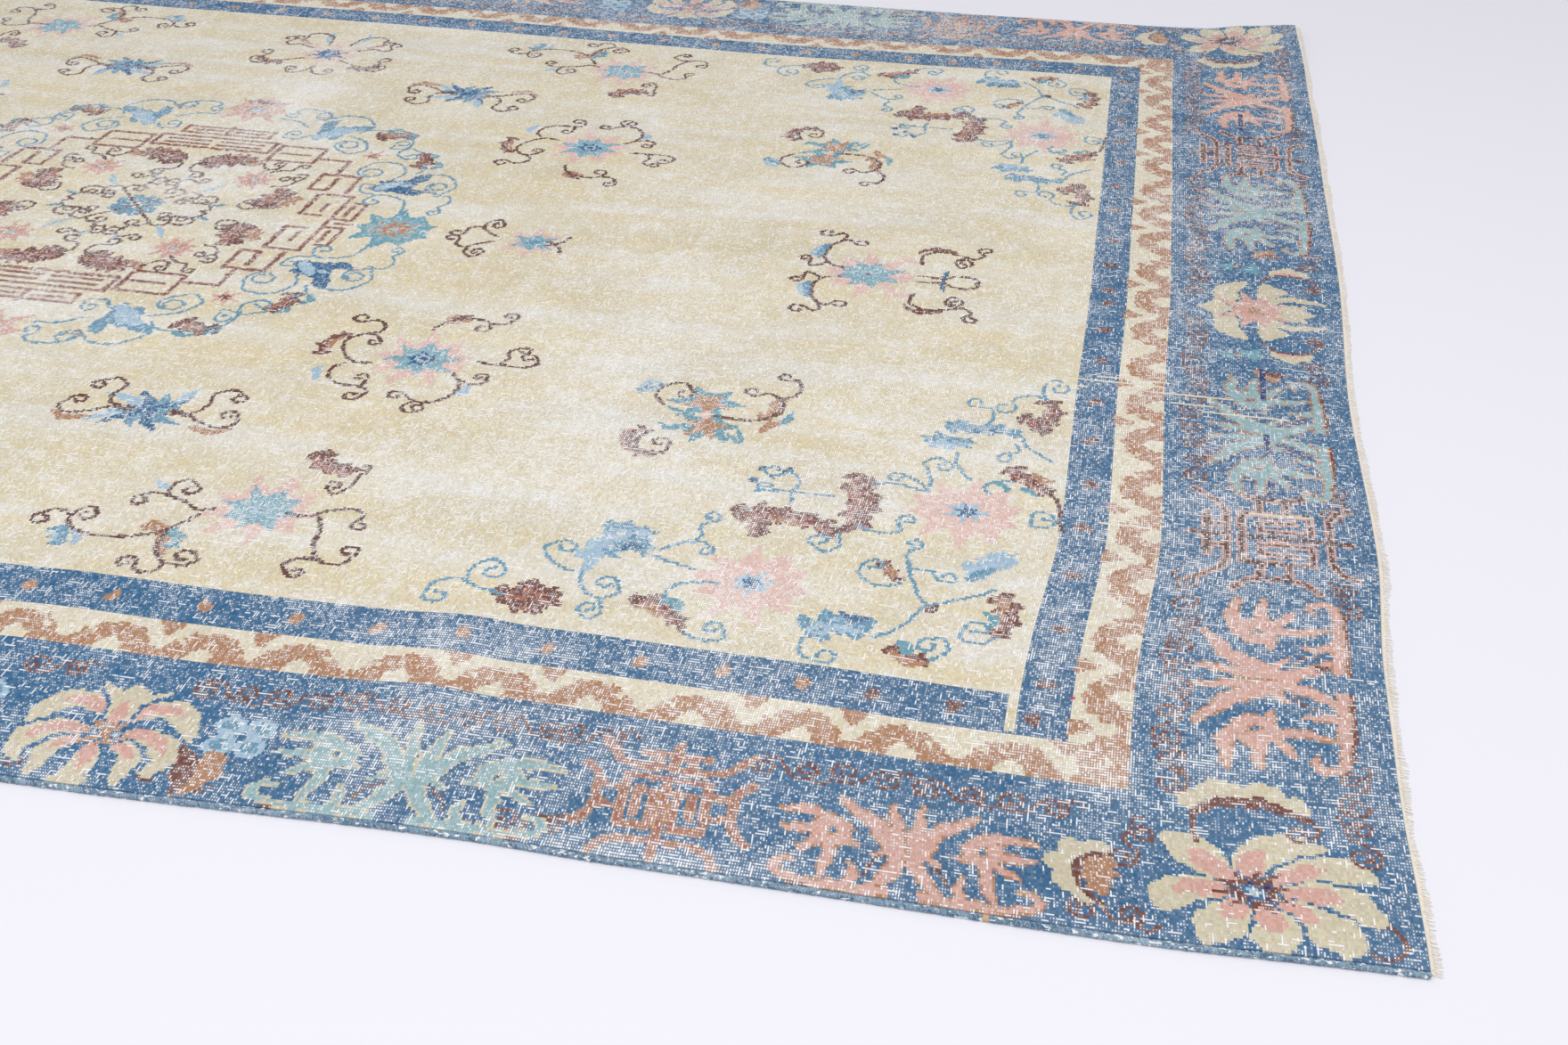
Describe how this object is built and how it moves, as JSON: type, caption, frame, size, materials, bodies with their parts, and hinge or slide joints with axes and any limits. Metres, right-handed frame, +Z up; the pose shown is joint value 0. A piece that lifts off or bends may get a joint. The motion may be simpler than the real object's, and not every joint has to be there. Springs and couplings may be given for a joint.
{
  "type": "anatolian rug",
  "caption": "Flat hand-knotted wool rug with a worn low pile, a round medallion, a wide blue border, overcast sides and short cut fringes.",
  "frame": {"origin": "centre of the rug's bounding box at the level of the floor", "axes": "+X along the rug's length, +Y across it towards the far side, +Z up"},
  "size_m": [2.9324, 2.156, 0.0116],
  "materials": {
    "pile": "worn low wool pile over a white cotton ground",
    "overcast_wool": "blue wool wrapped closely over the edge cords",
    "warp_cotton": "cut cotton warp ends"
  },
  "bodies": {
    "root": {"rug_body": "pile", "selvedge_near": "overcast_wool", "selvedge_far": "overcast_wool", "fringe_left": "warp_cotton", "fringe_right": "warp_cotton"}
  },
  "joints": []
}
